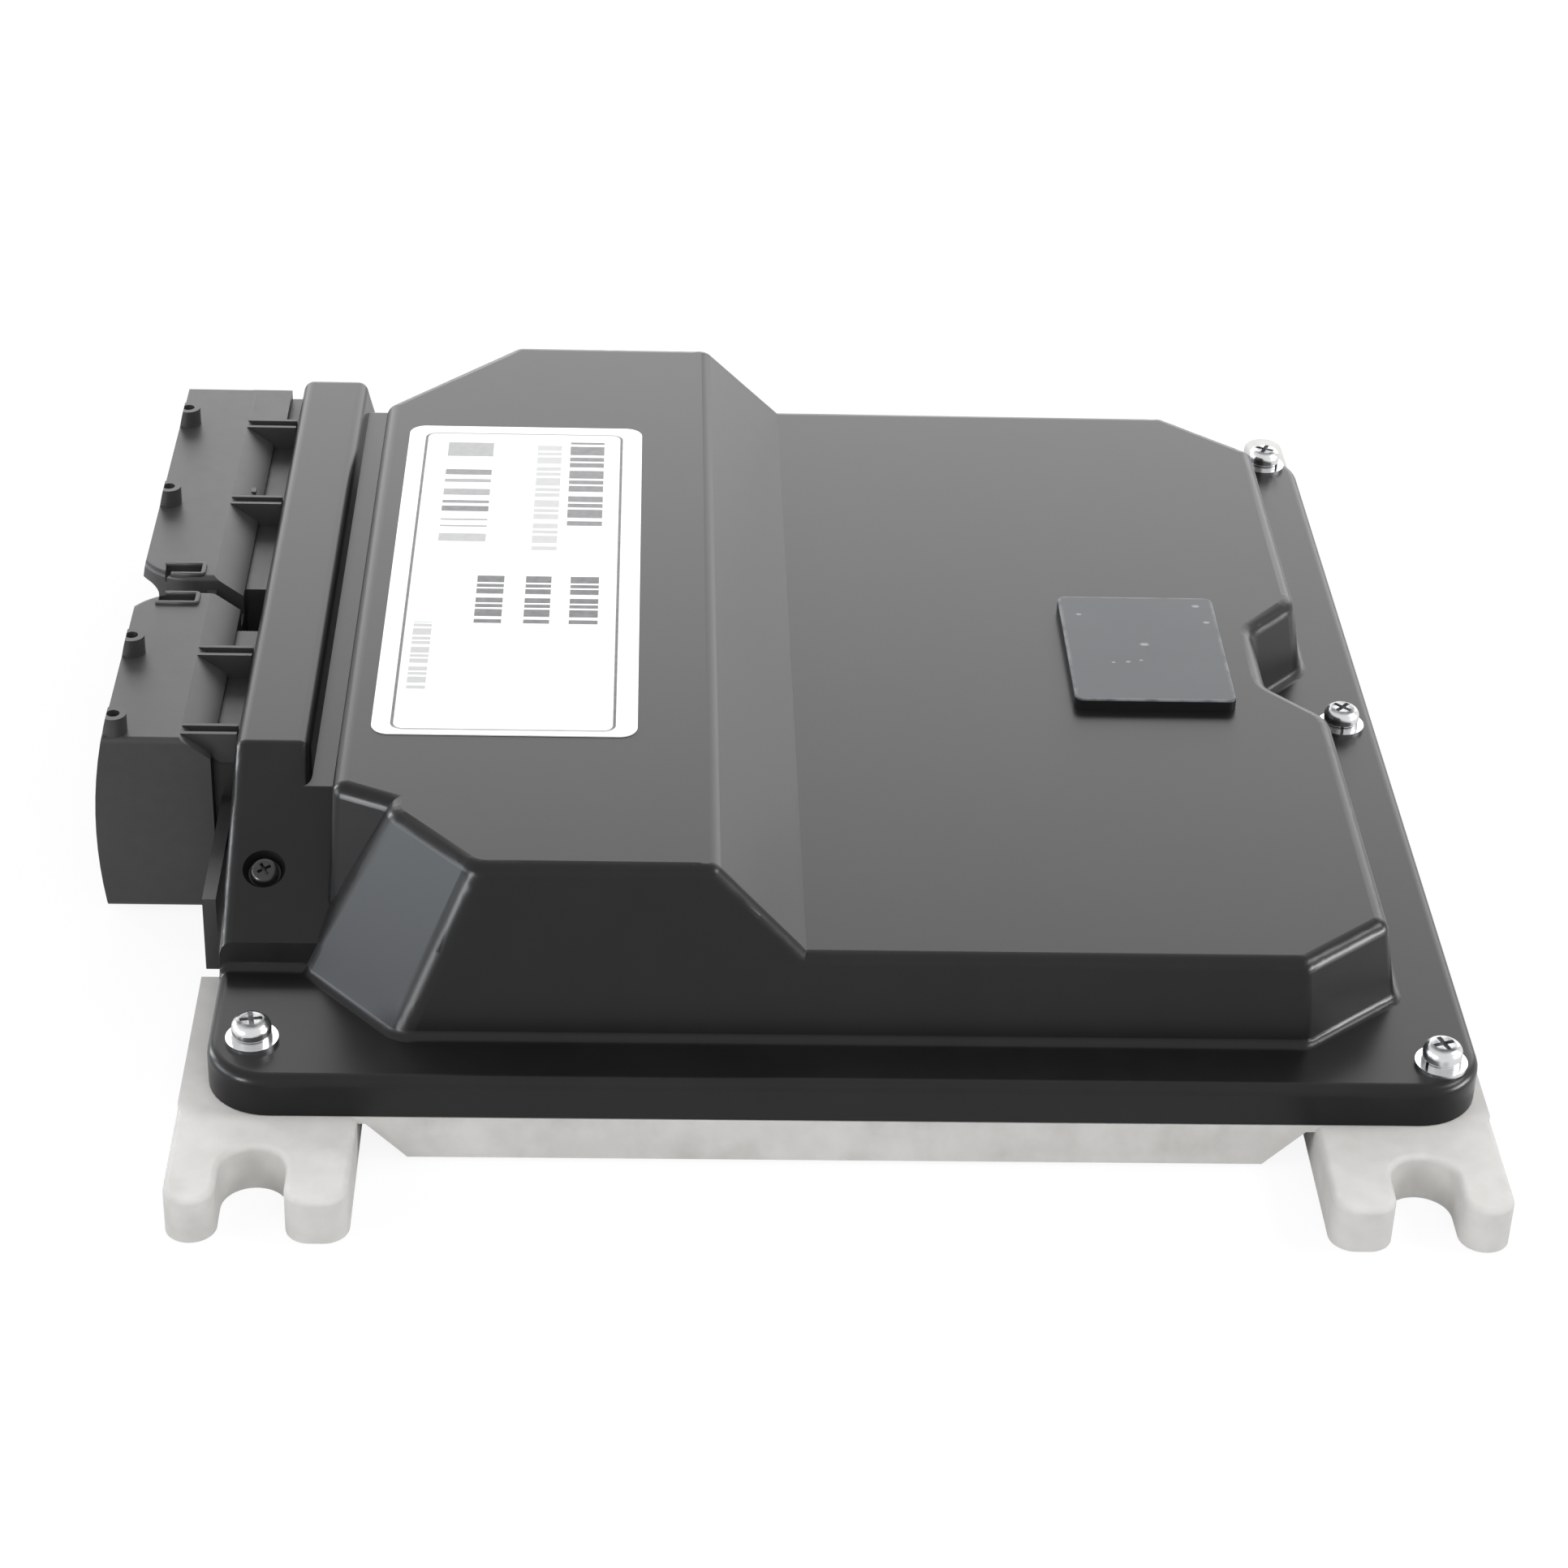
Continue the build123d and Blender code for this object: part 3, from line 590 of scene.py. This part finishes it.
@dataclass(frozen=True)
class PrintedFilm(Finish):
    """White film with a thin frame line, a stack of bars and rows of plain dashes.

    Attributes:
        frame: left, right, near and far side of the frame line in millimetres from the middle of the cover.
        corner: radius of the frame line's corners in millimetres.
        line: distance in millimetres from its middle at which the line starts to fade, and ends.
        line_ink: how dark the line is along its short sides.
        more_ink: how much darker it is along its long sides.
        bars: what is printed inside it.
        ink: colour of the print.
        worn: width in metres of the spots where the print is thinner.
        least_print: how much of the ink is there at least.
        more_print: how much more there is at most.
    """

    frame: tuple[float, float, float, float] = (-86.9, -44.0, -62.4, 64.0)
    corner: float = 2.2
    line: Span = (0.2, 0.42)
    line_ink: float = 0.68
    more_ink: float = 0.28
    bars: tuple[Bar, ...] = BAR_STACK + DASHED_LINES
    ink: Colour = (0.035, 0.036, 0.04)
    worn: float = 0.0015
    least_print: float = 0.92
    more_print: float = 0.16

    def dress(self, graph: Graph) -> None:
        """Film finish with the print laid over its colour.

        Args:
            graph: the material's nodes.
        """
        super().dress(graph)
        x, y, _ = graph.axes()
        printed = reduce(Value.most, [bar.cover(x, y) for bar in self.bars], self.frame_line(x, y))
        graph.overlay(printed * (self.more_print * graph.noise(self.worn) + self.least_print), self.ink)

    def frame_line(self, x: Value, y: Value) -> Value:
        """Ink of the frame: near the outline of a rounded rectangle, darkest along its long sides.

        The outline lies where the distance from a smaller rectangle, drawn in by the corner's radius, is
        that radius.

        Args:
            x: place along X in metres.
            y: place along Y in metres.

        Returns:
            The share of ink.
        """
        left, right = (metres_x(c) for c in self.frame[:2])
        near, far = (c * MM for c in self.frame[2:])
        corner = self.corner * MM
        out_x = (abs(x - (left + right) / 2) - ((right - left) / 2 - corner)).most(0.0)
        out_y = (abs(y - (near + far) / 2) - ((far - near) / 2 - corner)).most(0.0)
        away = abs((out_x * out_x + out_y * out_y).root() - corner)
        strength = self.more_ink * out_x.step(corner / 2, corner) + self.line_ink
        return (1 - away.step(*(c * MM for c in self.line))) * strength


@dataclass(frozen=True)
class MarkedPad(Finish):
    """Soft pad with a painted highlight along its top's edge, painted shade on its sides and a few bright
    specks.

    Attributes:
        side: colour of the upright sides, a painted shade.
        rim: colour of the painted highlight along the top's edge and of the specks.
        middle: middle of the pad in millimetres from the middle of the cover.
        half: half its width and depth in millimetres.
        worn: distance from the edge in millimetres at which the painted highlight along the top's edge
            starts to fade, and ends.
        worn_share: how strongly the painted highlight along the rim shows.
        wear: width in metres of the patches where that painted highlight is stronger.
        wear_edge: values of the noise at which such a patch starts and is full.
        up_edge: upward parts of its direction at which a face starts to count as the top and does so.
        specks: place and radius of each speck in millimetres.
        speck_edge: where a speck starts to fade, as a share of its radius.
        speck_squeeze: weight of the distance along X in a speck, which makes it wider along X.
    """

    side: Colour = (0.007, 0.0072, 0.0075)
    rim: Colour = (0.20, 0.21, 0.215)
    middle: Spot = (66.7, -1.2)
    half: tuple[float, float] = (16.7, 21.8)
    worn: Span = (0.1, 1.1)
    worn_share: float = 0.55
    wear: float = 0.004
    wear_edge: Span = (0.3, 0.6)
    up_edge: Span = (0.2, 0.6)
    specks: tuple[Point, ...] = ((66.7, 0.1, 0.8), (79.5, 16.8, 0.7), (81.0, 9.8, 0.6), (62.5, -7.3, 0.45),
                                 (65.3, -6.6, 0.35), (59.4, -7.6, 0.35), (54.0, 12.6, 0.5))
    speck_edge: float = 0.6
    speck_squeeze: float = 0.7

    def dress(self, graph: Graph) -> None:
        """Pad finish with the painted highlight along the rim, the painted shade on the sides and the specks
        laid over its colour.

        Args:
            graph: the material's nodes.
        """
        super().dress(graph)
        x, y, _ = graph.axes()
        from_x = abs(x - metres_x(self.middle[0]))
        from_y = abs(y - self.middle[1] * MM)
        inside = (self.half[0] * MM - from_x).least(self.half[1] * MM - from_y)
        # Painted highlight: a pale band along the top's edge, broken into noise patches.
        edge = 1 - inside.step(*(c * MM for c in self.worn))
        worn = edge * graph.noise(self.wear).step(*self.wear_edge)
        specks = [self.speck(graph.away(x, y, (speck_x, speck_y), self.speck_squeeze), radius * MM)
                  for speck_x, speck_y, radius in self.specks]
        graph.overlay(reduce(Value.most, specks, self.worn_share * worn), self.rim)
        # Painted shade: the upright sides are made darker than the top.
        graph.overlay(1 - graph.facing()[2].step(*self.up_edge), self.side)

    def speck(self, away: Value, radius: float) -> Value:
        """1 within a speck and 0 outside it, for the distance from its middle and its radius."""
        return 1 - away.step(self.speck_edge * radius, radius)


PAINT = Finish("black_paint", (0.006, 0.006, 0.0063), (0.008, 0.008, 0.0082), 0.30, specular=0.25,
               grain=Grain.POWDER, size=0.0016, depth=0.0000015, spread=0.015)
CAST = StainedCasting("cast_metal", (0.535, 0.525, 0.506), (0.61, 0.602, 0.586), 0.72, specular=0.04,
                      grain=Grain.CAST, size=0.0012, depth=0.00006, spread=0.08)
ZINC = ScrewZinc("zinc", (0.62, 0.63, 0.64), (0.70, 0.70, 0.70), 0.22, metallic=1.0, grain=Grain.BRIGHT,
                 size=0.0008, depth=0.000006)
DARK_SCREW = Finish("dark_screw", (0.012, 0.012, 0.012), (0.02, 0.02, 0.02), 0.3, depth=0.000006)
HEADER = Finish("header_plastic", (0.028, 0.028, 0.0275), (0.035, 0.035, 0.034), 0.43, specular=0.36,
                size=0.0007)
RUBBER = Finish("seal_rubber", (0.012, 0.012, 0.012), (0.018, 0.018, 0.018), 0.7, grain=Grain.SOFT,
                size=0.0012)
TIN = Finish("tin", (0.74, 0.73, 0.70), (0.80, 0.79, 0.77), 0.28, metallic=1.0, grain=Grain.BRIGHT,
             depth=0.000004)
BOARD = Finish("board", (0.010, 0.06, 0.022), (0.014, 0.08, 0.03), 0.25, size=0.0012)
CHIP = Finish("chip_body", (0.015, 0.015, 0.017), (0.022, 0.022, 0.024), 0.5, size=0.0004, depth=0.000006)
CAN = Finish("can", (0.60, 0.60, 0.62), (0.68, 0.68, 0.70), 0.3, metallic=1.0, grain=Grain.BRIGHT,
             size=0.0008, depth=0.000004)
FERRITE = Finish("ferrite", (0.05, 0.05, 0.055), (0.07, 0.07, 0.075), 0.6, size=0.0008)
CERAMIC = Finish("capacitor_body", (0.42, 0.28, 0.15), (0.5, 0.34, 0.2), 0.4, size=0.0005, depth=0.000004)
THERMAL = Finish("thermal_soft", (0.32, 0.34, 0.38), (0.36, 0.38, 0.42), 0.8, grain=Grain.SOFT, size=0.001)
PAD = MarkedPad("pad_soft", (0.050, 0.054, 0.060), (0.060, 0.065, 0.071), 0.42, specular=0.25,
                grain=Grain.SOFT, size=0.0008, depth=0.000006)
FILM = PrintedFilm("label_film", (0.84, 0.84, 0.835), (0.87, 0.87, 0.865), 0.4, specular=0.4, size=0.002,
                   depth=0.000003)


class Palette:
    """Materials of the finishes, each made once."""

    def __init__(self) -> None:
        """Starts empty."""
        self.made: dict[str, bpy.types.Material] = {}

    def material(self, finish: Finish) -> bpy.types.Material:
        """Material of a finish, made at its first use.

        Args:
            finish: the finish.

        Returns:
            The material.
        """
        if finish.name not in self.made:
            self.made[finish.name] = finish.build()
        return self.made[finish.name]


# Sub-assemblies


def skin(name: str, rings: np.ndarray, material: bpy.types.Material) -> bpy.types.Object:
    """Turns rings of points into a smooth piece of the object, closed by a flat face at both ends.

    Args:
        name: object name.
        rings: points in metres, as (rings, points of a ring, 3), each ring anticlockwise seen from behind.
        material: its material.

    Returns:
        The new object.
    """
    count, around = rings.shape[:2]
    index = np.arange(count * around).reshape(count, around)
    start, end = index[:-1], index[1:]
    faces = np.stack([start, end, np.roll(end, -1, 1), np.roll(start, -1, 1)], -1).reshape(-1, 4).tolist()
    faces += [index[0].tolist(), index[-1, ::-1].tolist()]
    mesh = bpy.data.meshes.new(name)
    mesh.from_pydata(rings.reshape(-1, 3).tolist(), [], faces)
    mesh.validate()
    mesh.polygons.foreach_set("use_smooth", [True] * len(mesh.polygons))
    mesh.materials.append(material)
    piece = bpy.data.objects.new(name, mesh)
    bpy.context.scene.collection.objects.link(piece)
    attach(piece, "root")
    return piece


@dataclass(frozen=True)
class PocketRim:
    """Raised rim round three sides of a pocket in a socket's top, in millimetres.

    Attributes:
        name: object name.
        path: corners of its middle line, from the middle of the cover.
        top: height of the surface that it stands on.
        width: width of the rim.
        height: how far it stands up.
        bend: how far from a corner its round starts.
        sunk: how deep its foot goes into the surface.
        round_points: number of points along the round of a corner.
        ring_points: number of points around the profile.
    """

    name: str
    path: tuple[Spot, ...]
    top: float = 41.5
    width: float = 1.0
    height: float = 0.6
    bend: float = 0.7
    sunk: float = 0.5
    round_points: int = 7
    ring_points: int = 20

    def line(self) -> tuple[np.ndarray, np.ndarray]:
        """Middle line with rounded corners.

        Each corner is a parabola: the start of its round, the corner and the end of its round, weighted by
        the square of 1 - t, by 2 t (1 - t) and by the square of t, with t going from 0 to 1.

        Returns:
            The points of the line, and at each of them the unit direction to its right.
        """
        path = np.array(self.path)
        corner = path[1:-1, None]
        back, ahead = path[:-2, None] - corner, path[2:, None] - corner
        start = corner + self.bend * back / np.linalg.norm(back, axis=-1, keepdims=True)
        end = corner + self.bend * ahead / np.linalg.norm(ahead, axis=-1, keepdims=True)
        t = np.linspace(0, 1, self.round_points)[None, :, None]
        rounds = (1 - t) ** 2 * start + 2 * t * (1 - t) * corner + t ** 2 * end
        line = np.concatenate([path[:1], rounds.reshape(-1, 2), path[-1:]])
        along = np.gradient(line, axis=0)
        along /= np.linalg.norm(along, axis=1, keepdims=True)
        return line, np.stack([along[:, 1], -along[:, 0]], 1)

    def build(self, material: bpy.types.Material) -> bpy.types.Object:
        """Carries a rounded profile along the line.

        The profile is a circle squeezed to a rounded square: sideways it goes as the signed square root
        of the cosine of its angle, upwards as that of the sine, so its flanks are steep and its top is flat.

        Args:
            material: its material.

        Returns:
            The rim.
        """
        line, side = self.line()
        angle = np.linspace(0, 2 * math.pi, self.ring_points, endpoint=False)
        circle = np.stack([np.cos(angle), np.sin(angle)])
        square = np.sign(circle) * np.sqrt(np.abs(circle))
        across = self.width / 2 * square[0]
        upward = self.top + (self.height - self.sunk) / 2 + (self.height + self.sunk) / 2 * square[1]
        flat = line[:, None] + across[None, :, None] * side[:, None]
        rings = np.stack([flat[..., 0] + COVER_MIDDLE, flat[..., 1], np.tile(upward, (len(line), 1))], -1)
        return skin(self.name, rings * MM, material)


@dataclass(frozen=True)
class SubAssembly:
    """Solids that belong together; a field that holds a finish has the name of the node that wears it."""

    def build(self, palette: Palette) -> list[bpy.types.Object]:
        """Pieces that the sub-assembly adds to its solids: none, unless its class says otherwise."""
        return []

    def dress(self, nodes: dict[str, bpy.types.Object], palette: Palette) -> None:
        """Gives each solid of the sub-assembly its material.

        Args:
            nodes: the frame's solids by name.
            palette: the materials.
        """
        for entry in fields(self):
            finish = getattr(self, entry.name)
            if isinstance(finish, Finish):
                materials = nodes[entry.name].data.materials
                materials.clear()
                materials.append(palette.material(finish))
                LOG.info("dressed %s in %s", entry.name, finish.name)


@dataclass(frozen=True)
class Casing(SubAssembly):
    """Cast tray, pressed cover, the gasket between them and the pad that leads heat into the tray."""

    base_casting: Finish = CAST
    top_cover: Finish = PAINT
    cover_gasket: Finish = RUBBER
    thermal_pad: Finish = THERMAL


@dataclass(frozen=True)
class Fasteners(SubAssembly):
    """Screws and washers of the cover and the board, and the dark screw in the slope."""

    cover_screws: Finish = ZINC
    spring_washers: Finish = ZINC
    flat_washers: Finish = ZINC
    slope_screw: Finish = DARK_SCREW
    board_screws: Finish = ZINC


@dataclass(frozen=True)
class Sockets(SubAssembly):
    """Both sockets with their seals and contacts, and a rim round each pocket beside the gap between them.

    Attributes:
        rims: the rims, which are moulded on the header.
    """

    connector_header: Finish = HEADER
    header_seals: Finish = RUBBER
    signal_pins: Finish = TIN
    power_blades: Finish = TIN
    rims: tuple[PocketRim, ...] = (
        PocketRim("rear_pocket_rim", ((-140.2, 21.2), (-131.9, 21.2), (-131.9, 16.75), (-138.6, 16.75))),
        PocketRim("front_pocket_rim", ((-138.8, 8.45), (-131.9, 8.45), (-131.9, 4.3), (-140.4, 4.3))),
    )

    def build(self, palette: Palette) -> list[bpy.types.Object]:
        """The rims, in the header's plastic."""
        return [rim.build(palette.material(self.connector_header)) for rim in self.rims]


@dataclass(frozen=True)
class Electronics(SubAssembly):
    """Circuit board and what is soldered to it."""

    circuit_board: Finish = BOARD
    main_processor: Finish = CHIP
    memory_chips: Finish = CHIP
    driver_chips: Finish = CHIP
    power_transistors: Finish = CHIP
    filter_capacitors: Finish = CAN
    power_inductors: Finish = FERRITE
    clock_crystal: Finish = CAN
    shunt_resistors: Finish = FERRITE
    ceramic_capacitors: Finish = CERAMIC


@dataclass(frozen=True)
class CoverTrim(SubAssembly):
    """Label and soft pad stuck on the cover."""

    label_sticker: Finish = FILM
    cover_pad: Finish = PAD


# Studio


def stand(thing: bpy.types.Object, place: Point, axes: list[np.ndarray]) -> None:
    """Puts an object in the scene.

    Args:
        thing: the object.
        place: where it stands, in metres.
        axes: unit directions of its own X, Y and Z.
    """
    thing.matrix_world = Matrix.Translation(place) @ Matrix(np.stack(axes, 1).tolist()).to_4x4()
    bpy.context.scene.collection.objects.link(thing)


@dataclass(frozen=True)
class PhotoCamera:
    """Camera at the photograph's place.

    Attributes:
        place: position in metres.
        yaw: turn to the right in degrees.
        dip: angle below the horizon in degrees.
        roll: turn about the view direction in degrees.
        lens: focal length in millimetres.
        sensor: width of the frame behind the lens in millimetres.
        reach: distances in metres at which it starts and stops to see.
    """

    place: Point = (metres_x(-38.31), -0.66754, 0.41923)
    yaw: float = 2.593
    dip: float = 32.0
    roll: float = 2.094
    lens: float = 84.243
    sensor: float = 36.0
    reach: Span = (0.01, 50.0)

    def axes(self) -> list[np.ndarray]:
        """Directions of the picture's right and upper side and of the way back, rolled about the view.

        Returns:
            Three unit vectors.
        """
        yaw, dip, roll = np.radians([self.yaw, self.dip, self.roll])
        ahead = np.array([math.sin(yaw) * math.cos(dip), math.cos(yaw) * math.cos(dip), -math.sin(dip)])
        level = np.array([math.cos(yaw), -math.sin(yaw), 0.0])
        upright = np.cross(level, ahead)
        right = math.cos(roll) * level + math.sin(roll) * upright
        return [right, np.cross(right, ahead), -ahead]

    def build(self) -> None:
        """Adds the camera and makes it the scene's own."""
        data = bpy.data.cameras.new("camera")
        data.lens = self.lens
        data.sensor_width = self.sensor
        data.clip_start, data.clip_end = self.reach
        camera = bpy.data.objects.new("camera", data)
        stand(camera, self.place, self.axes())
        bpy.context.scene.camera = camera


@dataclass(frozen=True)
class SoftBox:
    """One rectangular studio light that faces the object.

    Attributes:
        name: object name.
        place: middle in metres.
        size: width and height in metres.
        power: strength in watts.
        mirrored: whether it shows in gloss.
        diffuse: whether it lights matt surfaces.
        colour: colour of its light.
    """

    name: str
    place: Point
    size: tuple[float, float]
    power: float
    mirrored: bool = True
    diffuse: bool = True
    colour: Colour = WHITE

    def build(self) -> None:
        """Adds the light."""
        data = bpy.data.lights.new(self.name, "AREA")
        data.shape = "RECTANGLE"
        data.size, data.size_y = self.size
        data.energy = self.power
        data.color = self.colour
        lamp = bpy.data.objects.new(self.name, data)
        lamp.visible_glossy = self.mirrored
        lamp.visible_diffuse = self.diffuse
        back = np.array(self.place) / np.linalg.norm(self.place)
        side = np.cross([0.0, 0.0, 1.0], back)
        side /= np.linalg.norm(side)
        stand(lamp, self.place, [side, np.cross(back, side), back])


# Slightly blue light
COOL = (0.93, 0.96, 1.0)
COOLER = (0.86, 0.93, 1.0)


@dataclass(frozen=True)
class Floor:
    """Wide pale floor that looks white and keeps a faint shadow.

    Attributes:
        reach: half its width in metres.
        height: its height in metres, just under the feet.
        shadow: how much of the object's shadow it keeps.
        bounce: share of its light that it throws back on the object.
        shade: how pale it is where it is seen.
        roughness: how matt it is.
    """

    reach: float = 6.0
    height: float = -0.0002
    shadow: float = 0.11
    bounce: float = 0.62
    shade: float = 0.95
    roughness: float = 0.9

    def build(self) -> None:
        """Adds the floor as part of the studio."""
        ends = (-self.reach, self.reach)
        corners = [(x, y, self.height) for y in ends for x in ends]
        mesh = bpy.data.meshes.new("floor")
        mesh.from_pydata(corners, [], [(0, 1, 3, 2)])
        mesh.materials.append(self.material())
        floor = bpy.data.objects.new("floor", mesh)
        bpy.context.scene.collection.objects.link(floor)

    def material(self) -> bpy.types.Material:
        """Material of the floor, almost its own light where it is seen.

        Returns:
            The material.
        """
        graph = Graph(bpy.data.materials.new("floor"))
        inputs = graph.shader.inputs
        graph.feed(inputs["Base Color"], graph.blend(graph.seen(), (self.bounce,) * 3, (self.shade,) * 3))
        graph.feed(inputs["Roughness"], self.roughness)
        graph.feed(inputs["Specular IOR Level"], 0.0)
        white = graph.glow("ShaderNodeEmission", WHITE)
        graph.show((1 - self.shadow) * graph.seen(), graph.shader.outputs[0], white)
        return graph.owner


@dataclass(frozen=True)
class Studio:
    """Pale floor, white surroundings and soft lights.

    Attributes:
        camera: the camera.
        floor: the floor.
        fill: strength of the even light from all around.
        fill_colour: colour of that light.
        boxes: the lights.
    """

    camera: PhotoCamera = PhotoCamera()
    floor: Floor = Floor()
    fill: float = 0.6
    fill_colour: Colour = (0.97, 0.98, 1.0)
    boxes: tuple[SoftBox, ...] = (
        SoftBox("back_light", (0.3, 2.6, 1.0), (4.6, 2.0), 74.0),
        SoftBox("front_light", (0.3, -2.4, 2.0), (2.4, 1.6), 33.0, mirrored=False),
        SoftBox("left_high_light", (-1.8, -0.9, 1.0), (0.8, 0.8), 14.0, mirrored=False),
        SoftBox("right_light", (1.9, -0.1, 1.7), (1.0, 0.6), 26.0),
        SoftBox("right_low_light", (2.15, -0.45, 0.28), (1.2, 0.5), 54.0, diffuse=False),
        SoftBox("left_rear_light", (-2.1, 1.3, 0.55), (0.4, 1.0), 24.0, colour=COOL),
        SoftBox("left_light", (-2.4, -0.1, 0.45), (1.4, 0.9), 31.0, diffuse=False, colour=COOLER),
        SoftBox("left_front_light", (-2.0, -1.7, 0.4), (0.4, 0.8), 44.0, diffuse=False, colour=COOL),
    )

    def build(self) -> None:
        """Sets up everything around the object."""
        bpy.context.scene.view_settings.view_transform = "Standard"
        self.camera.build()
        for box in self.boxes:
            box.build()
        self.surroundings()
        self.floor.build()
        LOG.info("studio with %d lights", len(self.boxes))

    def surroundings(self) -> None:
        """White where it is seen, softer as light on the object."""
        bpy.context.scene.world = bpy.data.worlds.new("surroundings")
        graph = Graph(bpy.context.scene.world)
        lit = graph.glow("ShaderNodeBackground", self.fill_colour, self.fill)
        graph.show(graph.seen(), lit, graph.glow("ShaderNodeBackground", WHITE))


def main() -> None:
    """Builds the scene in order."""
    logging.basicConfig(level=logging.INFO, format="%(message)s")
    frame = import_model()
    palette = Palette()
    for part in (Casing(), Fasteners(), Sockets(), Electronics(), CoverTrim()):
        part.dress(frame["nodes"], palette)
        for piece in part.build(palette):
            LOG.info("added %s with %d faces", piece.name, len(piece.data.polygons))
    Studio().build()


if __name__ == "__main__":
    main()
